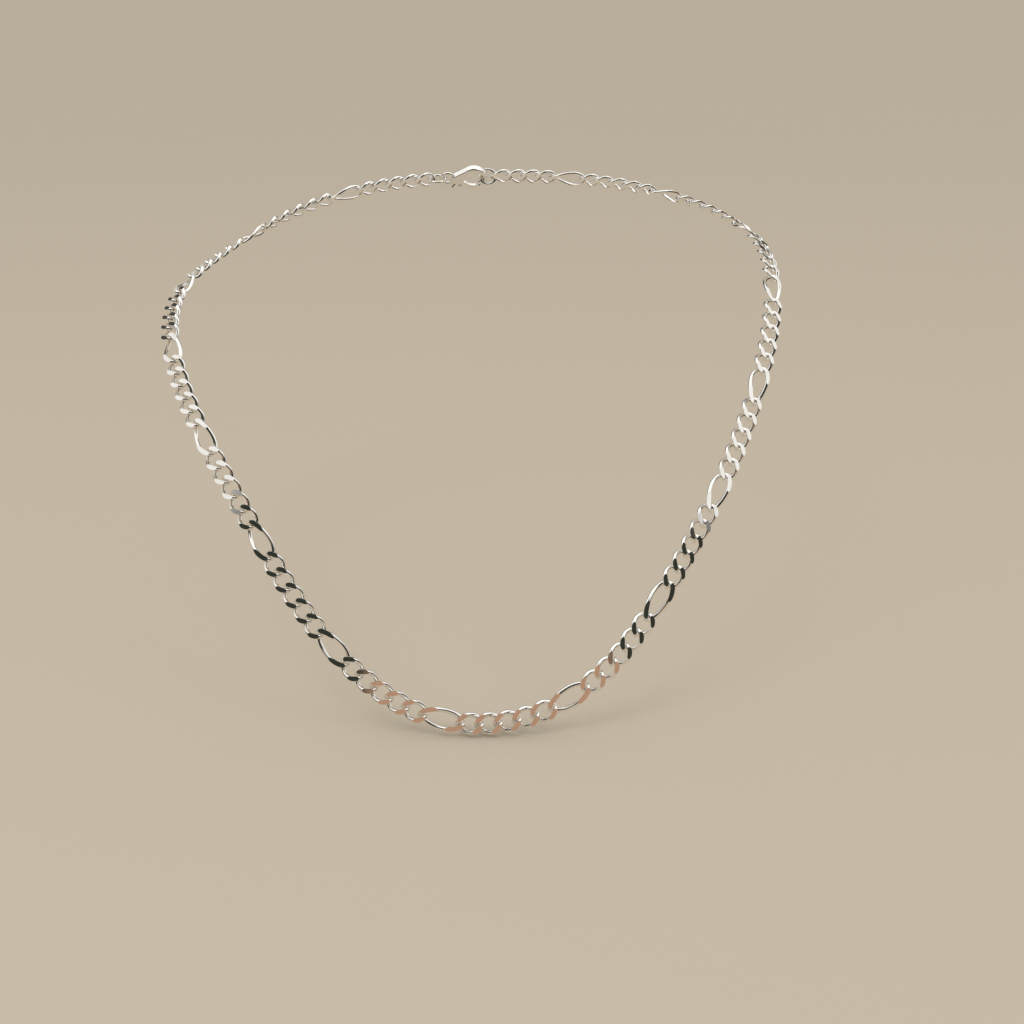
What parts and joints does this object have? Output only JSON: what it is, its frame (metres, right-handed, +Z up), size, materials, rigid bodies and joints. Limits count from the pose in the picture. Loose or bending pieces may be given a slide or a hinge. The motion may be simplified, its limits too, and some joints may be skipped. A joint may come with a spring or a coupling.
{
  "type": "chain necklace",
  "caption": "Figaro chain necklace of flat-cut curb-twisted oval links, closed round a neck by a small lobster claw clasp with two jump rings.",
  "frame": {"origin": "middle of the wearer's neck, which the closed chain hangs round", "axes": "+X to the wearer's left shoulder, -Y out of the chest, +Z up"},
  "size_m": [0.155, 0.1374, 0.1056],
  "materials": {
    "polished_silver": "bright polished silver, diamond-cut facets",
    "spring_steel": "satin spring steel"
  },
  "bodies": {
    "clasp": {"clasp_body": "polished_silver", "clasp_pin": "spring_steel", "clasp_spring": "spring_steel"},
    "lever": {"clasp_lever": "polished_silver"},
    "clasp_ring": {"clasp_ring": "polished_silver"},
    "short_links_01a": {"short_links_01a": "polished_silver"},
    "short_links_01b": {"short_links_01b": "polished_silver"},
    "long_link_01": {"long_link_01": "polished_silver"},
    "short_links_02a": {"short_links_02a": "polished_silver"},
    "short_links_02b": {"short_links_02b": "polished_silver"},
    "long_link_02": {"long_link_02": "polished_silver"},
    "short_links_03a": {"short_links_03a": "polished_silver"},
    "short_links_03b": {"short_links_03b": "polished_silver"},
    "long_link_03": {"long_link_03": "polished_silver"},
    "short_links_04a": {"short_links_04a": "polished_silver"},
    "short_links_04b": {"short_links_04b": "polished_silver"},
    "long_link_04": {"long_link_04": "polished_silver"},
    "short_links_05a": {"short_links_05a": "polished_silver"},
    "short_links_05b": {"short_links_05b": "polished_silver"},
    "long_link_05": {"long_link_05": "polished_silver"},
    "short_links_06a": {"short_links_06a": "polished_silver"},
    "short_links_06b": {"short_links_06b": "polished_silver"},
    "long_link_06": {"long_link_06": "polished_silver"},
    "short_links_07a": {"short_links_07a": "polished_silver"},
    "short_links_07b": {"short_links_07b": "polished_silver"},
    "long_link_07": {"long_link_07": "polished_silver"},
    "short_links_08a": {"short_links_08a": "polished_silver"},
    "short_links_08b": {"short_links_08b": "polished_silver"},
    "short_links_08c": {"short_links_08c": "polished_silver"},
    "long_link_08": {"long_link_08": "polished_silver"},
    "short_links_09a": {"short_links_09a": "polished_silver"},
    "short_links_09b": {"short_links_09b": "polished_silver"},
    "short_links_09c": {"short_links_09c": "polished_silver"},
    "long_link_09": {"long_link_09": "polished_silver"},
    "short_links_10a": {"short_links_10a": "polished_silver"},
    "short_links_10b": {"short_links_10b": "polished_silver"},
    "short_links_10c": {"short_links_10c": "polished_silver"},
    "long_link_10": {"long_link_10": "polished_silver"},
    "short_links_11a": {"short_links_11a": "polished_silver"},
    "short_links_11b": {"short_links_11b": "polished_silver"},
    "long_link_11": {"long_link_11": "polished_silver"},
    "short_links_12a": {"short_links_12a": "polished_silver"},
    "short_links_12b": {"short_links_12b": "polished_silver"},
    "long_link_12": {"long_link_12": "polished_silver"},
    "short_links_13a": {"short_links_13a": "polished_silver"},
    "short_links_13b": {"short_links_13b": "polished_silver"},
    "long_link_13": {"long_link_13": "polished_silver"},
    "short_links_14a": {"short_links_14a": "polished_silver"},
    "short_links_14b": {"short_links_14b": "polished_silver"},
    "long_link_14": {"long_link_14": "polished_silver"},
    "short_links_15a": {"short_links_15a": "polished_silver"},
    "short_links_15b": {"short_links_15b": "polished_silver"},
    "long_link_15": {"long_link_15": "polished_silver"},
    "short_links_16a": {"short_links_16a": "polished_silver"},
    "short_links_16b": {"short_links_16b": "polished_silver"},
    "long_link_16": {"long_link_16": "polished_silver"},
    "short_links_17a": {"short_links_17a": "polished_silver"},
    "short_links_17b": {"short_links_17b": "polished_silver"},
    "end_ring": {"end_ring": "polished_silver"}
  },
  "joints": [
    {"name": "lever_pivot", "type": "hinge", "parent": "clasp", "child": "lever", "pos_m": [-0.00493, 0.03578, 0.0124], "axis": [0.0566, -0.7994, -0.5981], "range_deg": [0, 25], "stiffness_Nm_per_rad": 0.006, "springref_deg": -11.46},
    {"name": "clasp_ring_roll", "type": "hinge", "parent": "clasp", "child": "clasp_ring", "pos_m": [-0.00948, 0.03454, 0.01363], "axis": [-0.9984, -0.0428, -0.0373], "range_deg": [0, 12]},
    {"name": "right_bend_01", "type": "hinge", "parent": "clasp_ring", "child": "short_links_01a", "pos_m": [-0.01284, 0.03419, 0.01343], "axis": [-0.9983, -0.0426, -0.0386], "range_deg": [0, 12]},
    {"name": "right_bend_02", "type": "hinge", "parent": "short_links_01a", "child": "short_links_01b", "pos_m": [-0.02111, 0.03296, 0.01271], "axis": [-0.9982, -0.0414, -0.043], "range_deg": [0, 12]},
    {"name": "right_bend_03", "type": "hinge", "parent": "short_links_01b", "child": "long_link_01", "pos_m": [-0.03321, 0.03011, 0.01087], "axis": [-0.9967, -0.056, -0.0587], "range_deg": [0, 12]},
    {"name": "right_bend_04", "type": "hinge", "parent": "long_link_01", "child": "short_links_02a", "pos_m": [-0.04115, 0.02741, 0.00901], "axis": [-0.9963, -0.0539, -0.0664], "range_deg": [0, 12]},
    {"name": "right_bend_05", "type": "hinge", "parent": "short_links_02a", "child": "short_links_02b", "pos_m": [-0.04849, 0.02403, 0.00678], "axis": [-0.9959, -0.053, -0.0736], "range_deg": [0, 12]},
    {"name": "right_bend_06", "type": "hinge", "parent": "short_links_02b", "child": "long_link_02", "pos_m": [-0.05836, 0.01737, 0.0028], "axis": [-0.995, -0.054, -0.0834], "range_deg": [0, 12]},
    {"name": "right_bend_07", "type": "hinge", "parent": "long_link_02", "child": "short_links_03a", "pos_m": [-0.06413, 0.01166, -0.00001], "axis": [-0.9946, -0.0558, -0.0877], "range_deg": [0, 12]},
    {"name": "right_bend_08", "type": "hinge", "parent": "short_links_03a", "child": "short_links_03b", "pos_m": [-0.06886, 0.0052, -0.00248], "axis": [-0.9944, -0.0581, -0.0885], "range_deg": [0, 12]},
    {"name": "right_bend_09", "type": "hinge", "parent": "short_links_03b", "child": "long_link_03", "pos_m": [-0.07388, -0.00585, -0.00566], "axis": [-0.9945, -0.0612, -0.0855], "range_deg": [0, 12]},
    {"name": "right_bend_10", "type": "hinge", "parent": "long_link_03", "child": "short_links_04a", "pos_m": [-0.07555, -0.01396, -0.00794], "axis": [-0.9945, -0.0618, -0.0845], "range_deg": [0, 12]},
    {"name": "right_bend_11", "type": "hinge", "parent": "short_links_04a", "child": "short_links_04b", "pos_m": [-0.07577, -0.02194, -0.01045], "axis": [-0.9945, -0.0617, -0.0849], "range_deg": [0, 12]},
    {"name": "right_bend_12", "type": "hinge", "parent": "short_links_04b", "child": "long_link_04", "pos_m": [-0.07405, -0.03356, -0.01491], "axis": [-0.9945, -0.0617, -0.0852], "range_deg": [0, 12]},
    {"name": "right_bend_13", "type": "hinge", "parent": "long_link_04", "child": "short_links_05a", "pos_m": [-0.07178, -0.04099, -0.01857], "axis": [-0.9945, -0.0629, -0.0833], "range_deg": [0, 12]},
    {"name": "right_bend_14", "type": "hinge", "parent": "short_links_05a", "child": "short_links_05b", "pos_m": [-0.06891, -0.04776, -0.0226], "axis": [-0.9946, -0.0653, -0.0802], "range_deg": [0, 12]},
    {"name": "right_bend_15", "type": "hinge", "parent": "short_links_05b", "child": "long_link_05", "pos_m": [-0.06367, -0.05702, -0.0293], "axis": [-0.9947, -0.07, -0.0753], "range_deg": [0, 12]},
    {"name": "right_bend_16", "type": "hinge", "parent": "long_link_05", "child": "short_links_06a", "pos_m": [-0.05965, -0.0628, -0.03423], "axis": [-0.9946, -0.0729, -0.0733], "range_deg": [0, 12]},
    {"name": "right_bend_17", "type": "hinge", "parent": "short_links_06a", "child": "short_links_06b", "pos_m": [-0.05551, -0.06805, -0.03928], "axis": [-0.9945, -0.0747, -0.0733], "range_deg": [0, 12]},
    {"name": "right_bend_18", "type": "hinge", "parent": "short_links_06b", "child": "long_link_06", "pos_m": [-0.04906, -0.07527, -0.04732], "axis": [-0.9941, -0.0743, -0.0793], "range_deg": [0, 12]},
    {"name": "right_bend_19", "type": "hinge", "parent": "long_link_06", "child": "short_links_07a", "pos_m": [-0.04462, -0.07981, -0.05311], "axis": [-0.9935, -0.0708, -0.0891], "range_deg": [0, 12]},
    {"name": "right_bend_20", "type": "hinge", "parent": "short_links_07a", "child": "short_links_07b", "pos_m": [-0.04016, -0.0839, -0.05891], "axis": [-0.9926, -0.065, -0.1028], "range_deg": [0, 12]},
    {"name": "right_bend_21", "type": "hinge", "parent": "short_links_07b", "child": "long_link_07", "pos_m": [-0.03279, -0.08928, -0.06756], "axis": [-0.9905, -0.0553, -0.1257], "range_deg": [0, 12]},
    {"name": "right_bend_22", "type": "hinge", "parent": "long_link_07", "child": "short_links_08a", "pos_m": [-0.02702, -0.09231, -0.07315], "axis": [-0.9891, -0.0515, -0.1381], "range_deg": [0, 12]},
    {"name": "right_bend_23", "type": "hinge", "parent": "short_links_08a", "child": "short_links_08b", "pos_m": [-0.02069, -0.09472, -0.07809], "axis": [-0.9879, -0.0518, -0.146], "range_deg": [0, 12]},
    {"name": "right_bend_24", "type": "hinge", "parent": "short_links_08b", "child": "short_links_08c", "pos_m": [-0.01724, -0.09571, -0.08025], "axis": [-0.9874, -0.0533, -0.1488], "range_deg": [0, 12]},
    {"name": "right_bend_25", "type": "hinge", "parent": "short_links_08c", "child": "long_link_08", "pos_m": [-0.00974, -0.09718, -0.08366], "axis": [-0.9866, -0.058, -0.1522], "range_deg": [0, 12]},
    {"name": "right_bend_26", "type": "hinge", "parent": "long_link_08", "child": "short_links_09a", "pos_m": [-0.00138, -0.09789, -0.08546], "axis": [-0.9862, -0.0628, -0.1531], "range_deg": [0, 12]},
    {"name": "right_bend_27", "type": "hinge", "parent": "short_links_09a", "child": "short_links_09b", "pos_m": [0.00698, -0.09783, -0.08542], "axis": [-0.986, -0.0648, -0.1534], "range_deg": [0, 12]},
    {"name": "left_bend_27", "type": "hinge", "parent": "short_links_09b", "child": "short_links_09c", "pos_m": [0.01112, -0.09756, -0.08478], "axis": [-0.986, -0.0648, -0.1534], "range_deg": [-12, 0]},
    {"name": "left_bend_26", "type": "hinge", "parent": "short_links_09c", "child": "long_link_09", "pos_m": [0.01905, -0.09659, -0.08229], "axis": [-0.9862, -0.0628, -0.1531], "range_deg": [-12, 0]},
    {"name": "left_bend_25", "type": "hinge", "parent": "long_link_09", "child": "short_links_10a", "pos_m": [0.02637, -0.09506, -0.07809], "axis": [-0.9866, -0.058, -0.1522], "range_deg": [-12, 0]},
    {"name": "left_bend_24", "type": "hinge", "parent": "short_links_10a", "child": "short_links_10b", "pos_m": [0.03249, -0.09302, -0.07275], "axis": [-0.9874, -0.0533, -0.1488], "range_deg": [-12, 0]},
    {"name": "left_bend_23", "type": "hinge", "parent": "short_links_10b", "child": "short_links_10c", "pos_m": [0.03522, -0.09179, -0.06982], "axis": [-0.9879, -0.0518, -0.146], "range_deg": [-12, 0]},
    {"name": "left_bend_22", "type": "hinge", "parent": "short_links_10c", "child": "long_link_10", "pos_m": [0.0402, -0.08881, -0.06377], "axis": [-0.9891, -0.0515, -0.1381], "range_deg": [-12, 0]},
    {"name": "left_bend_21", "type": "hinge", "parent": "long_link_10", "child": "short_links_11a", "pos_m": [0.04489, -0.08494, -0.0577], "axis": [-0.9905, -0.0553, -0.1257], "range_deg": [-12, 0]},
    {"name": "left_bend_20", "type": "hinge", "parent": "short_links_11a", "child": "short_links_11b", "pos_m": [0.05125, -0.07791, -0.04944], "axis": [-0.9926, -0.065, -0.1028], "range_deg": [-12, 0]},
    {"name": "left_bend_19", "type": "hinge", "parent": "short_links_11b", "child": "long_link_11", "pos_m": [0.05516, -0.0727, -0.04416], "axis": [-0.9935, -0.0708, -0.0891], "range_deg": [-12, 0]},
    {"name": "left_bend_18", "type": "hinge", "parent": "long_link_11", "child": "short_links_12a", "pos_m": [0.05889, -0.06721, -0.03871], "axis": [-0.9941, -0.0743, -0.0793], "range_deg": [-12, 0]},
    {"name": "left_bend_17", "type": "hinge", "parent": "short_links_12a", "child": "short_links_12b", "pos_m": [0.06385, -0.05909, -0.03048], "axis": [-0.9945, -0.0747, -0.0733], "range_deg": [-12, 0]},
    {"name": "left_bend_16", "type": "hinge", "parent": "short_links_12b", "child": "long_link_12", "pos_m": [0.06677, -0.05353, -0.02492], "axis": [-0.9946, -0.0729, -0.0733], "range_deg": [-12, 0]},
    {"name": "left_bend_15", "type": "hinge", "parent": "long_link_12", "child": "short_links_13a", "pos_m": [0.0694, -0.04766, -0.01923], "axis": [-0.9947, -0.07, -0.0753], "range_deg": [-12, 0]},
    {"name": "left_bend_14", "type": "hinge", "parent": "short_links_13a", "child": "short_links_13b", "pos_m": [0.07248, -0.03848, -0.0112], "axis": [-0.9946, -0.0653, -0.0802], "range_deg": [-12, 0]},
    {"name": "left_bend_13", "type": "hinge", "parent": "short_links_13b", "child": "long_link_13", "pos_m": [0.07389, -0.03178, -0.00637], "axis": [-0.9945, -0.0629, -0.0833], "range_deg": [-12, 0]},
    {"name": "left_bend_12", "type": "hinge", "parent": "long_link_13", "child": "short_links_14a", "pos_m": [0.0747, -0.02433, -0.00217], "axis": [-0.9945, -0.0617, -0.0852], "range_deg": [-12, 0]},
    {"name": "left_bend_11", "type": "hinge", "parent": "short_links_14a", "child": "short_links_14b", "pos_m": [0.07435, -0.01263, 0.00236], "axis": [-0.9945, -0.0617, -0.0849], "range_deg": [-12, 0]},
    {"name": "left_bend_10", "type": "hinge", "parent": "short_links_14b", "child": "long_link_14", "pos_m": [0.07272, -0.00474, 0.00465], "axis": [-0.9945, -0.0618, -0.0845], "range_deg": [-12, 0]},
    {"name": "left_bend_09", "type": "hinge", "parent": "long_link_14", "child": "short_links_15a", "pos_m": [0.06954, 0.00297, 0.00667], "axis": [-0.9945, -0.0612, -0.0855], "range_deg": [-12, 0]},
    {"name": "left_bend_08", "type": "hinge", "parent": "short_links_15a", "child": "short_links_15b", "pos_m": [0.06225, 0.01286, 0.00919], "axis": [-0.9944, -0.0581, -0.0885], "range_deg": [-12, 0]},
    {"name": "left_bend_07", "type": "hinge", "parent": "short_links_15b", "child": "long_link_15", "pos_m": [0.05612, 0.0184, 0.0106], "axis": [-0.9946, -0.0558, -0.0877], "range_deg": [-12, 0]},
    {"name": "left_bend_06", "type": "hinge", "parent": "long_link_15", "child": "short_links_16a", "pos_m": [0.04911, 0.0232, 0.01181], "axis": [-0.995, -0.054, -0.0834], "range_deg": [-12, 0]},
    {"name": "left_bend_05", "type": "hinge", "parent": "short_links_16a", "child": "short_links_16b", "pos_m": [0.03785, 0.02863, 0.01316], "axis": [-0.9959, -0.053, -0.0736], "range_deg": [-12, 0]},
    {"name": "left_bend_04", "type": "hinge", "parent": "short_links_16b", "child": "long_link_16", "pos_m": [0.02991, 0.03125, 0.01375], "axis": [-0.9963, -0.0539, -0.0664], "range_deg": [-12, 0]},
    {"name": "left_bend_03", "type": "hinge", "parent": "long_link_16", "child": "short_links_17a", "pos_m": [0.02155, 0.03319, 0.01409], "axis": [-0.9967, -0.056, -0.0587], "range_deg": [-12, 0]},
    {"name": "left_bend_02", "type": "hinge", "parent": "short_links_17a", "child": "short_links_17b", "pos_m": [0.01325, 0.03439, 0.01419], "axis": [-0.9982, -0.0414, -0.043], "range_deg": [-12, 0]},
    {"name": "left_bend_01", "type": "hinge", "parent": "short_links_17b", "child": "end_ring", "pos_m": [0.00489, 0.03495, 0.01412], "axis": [-0.9983, -0.0426, -0.0386], "range_deg": [-12, 0]}
  ],
  "couplings": [
    {"joint": "left_bend_27", "follows": "right_bend_27", "ratio": -1},
    {"joint": "left_bend_26", "follows": "right_bend_26", "ratio": -1},
    {"joint": "left_bend_25", "follows": "right_bend_25", "ratio": -1},
    {"joint": "left_bend_24", "follows": "right_bend_24", "ratio": -1},
    {"joint": "left_bend_23", "follows": "right_bend_23", "ratio": -1},
    {"joint": "left_bend_22", "follows": "right_bend_22", "ratio": -1},
    {"joint": "left_bend_21", "follows": "right_bend_21", "ratio": -1},
    {"joint": "left_bend_20", "follows": "right_bend_20", "ratio": -1},
    {"joint": "left_bend_19", "follows": "right_bend_19", "ratio": -1},
    {"joint": "left_bend_18", "follows": "right_bend_18", "ratio": -1},
    {"joint": "left_bend_17", "follows": "right_bend_17", "ratio": -1},
    {"joint": "left_bend_16", "follows": "right_bend_16", "ratio": -1},
    {"joint": "left_bend_15", "follows": "right_bend_15", "ratio": -1},
    {"joint": "left_bend_14", "follows": "right_bend_14", "ratio": -1},
    {"joint": "left_bend_13", "follows": "right_bend_13", "ratio": -1},
    {"joint": "left_bend_12", "follows": "right_bend_12", "ratio": -1},
    {"joint": "left_bend_11", "follows": "right_bend_11", "ratio": -1},
    {"joint": "left_bend_10", "follows": "right_bend_10", "ratio": -1},
    {"joint": "left_bend_09", "follows": "right_bend_09", "ratio": -1},
    {"joint": "left_bend_08", "follows": "right_bend_08", "ratio": -1},
    {"joint": "left_bend_07", "follows": "right_bend_07", "ratio": -1},
    {"joint": "left_bend_06", "follows": "right_bend_06", "ratio": -1},
    {"joint": "left_bend_05", "follows": "right_bend_05", "ratio": -1},
    {"joint": "left_bend_04", "follows": "right_bend_04", "ratio": -1},
    {"joint": "left_bend_03", "follows": "right_bend_03", "ratio": -1},
    {"joint": "left_bend_02", "follows": "right_bend_02", "ratio": -1},
    {"joint": "left_bend_01", "follows": "right_bend_01", "ratio": -1}
  ]
}
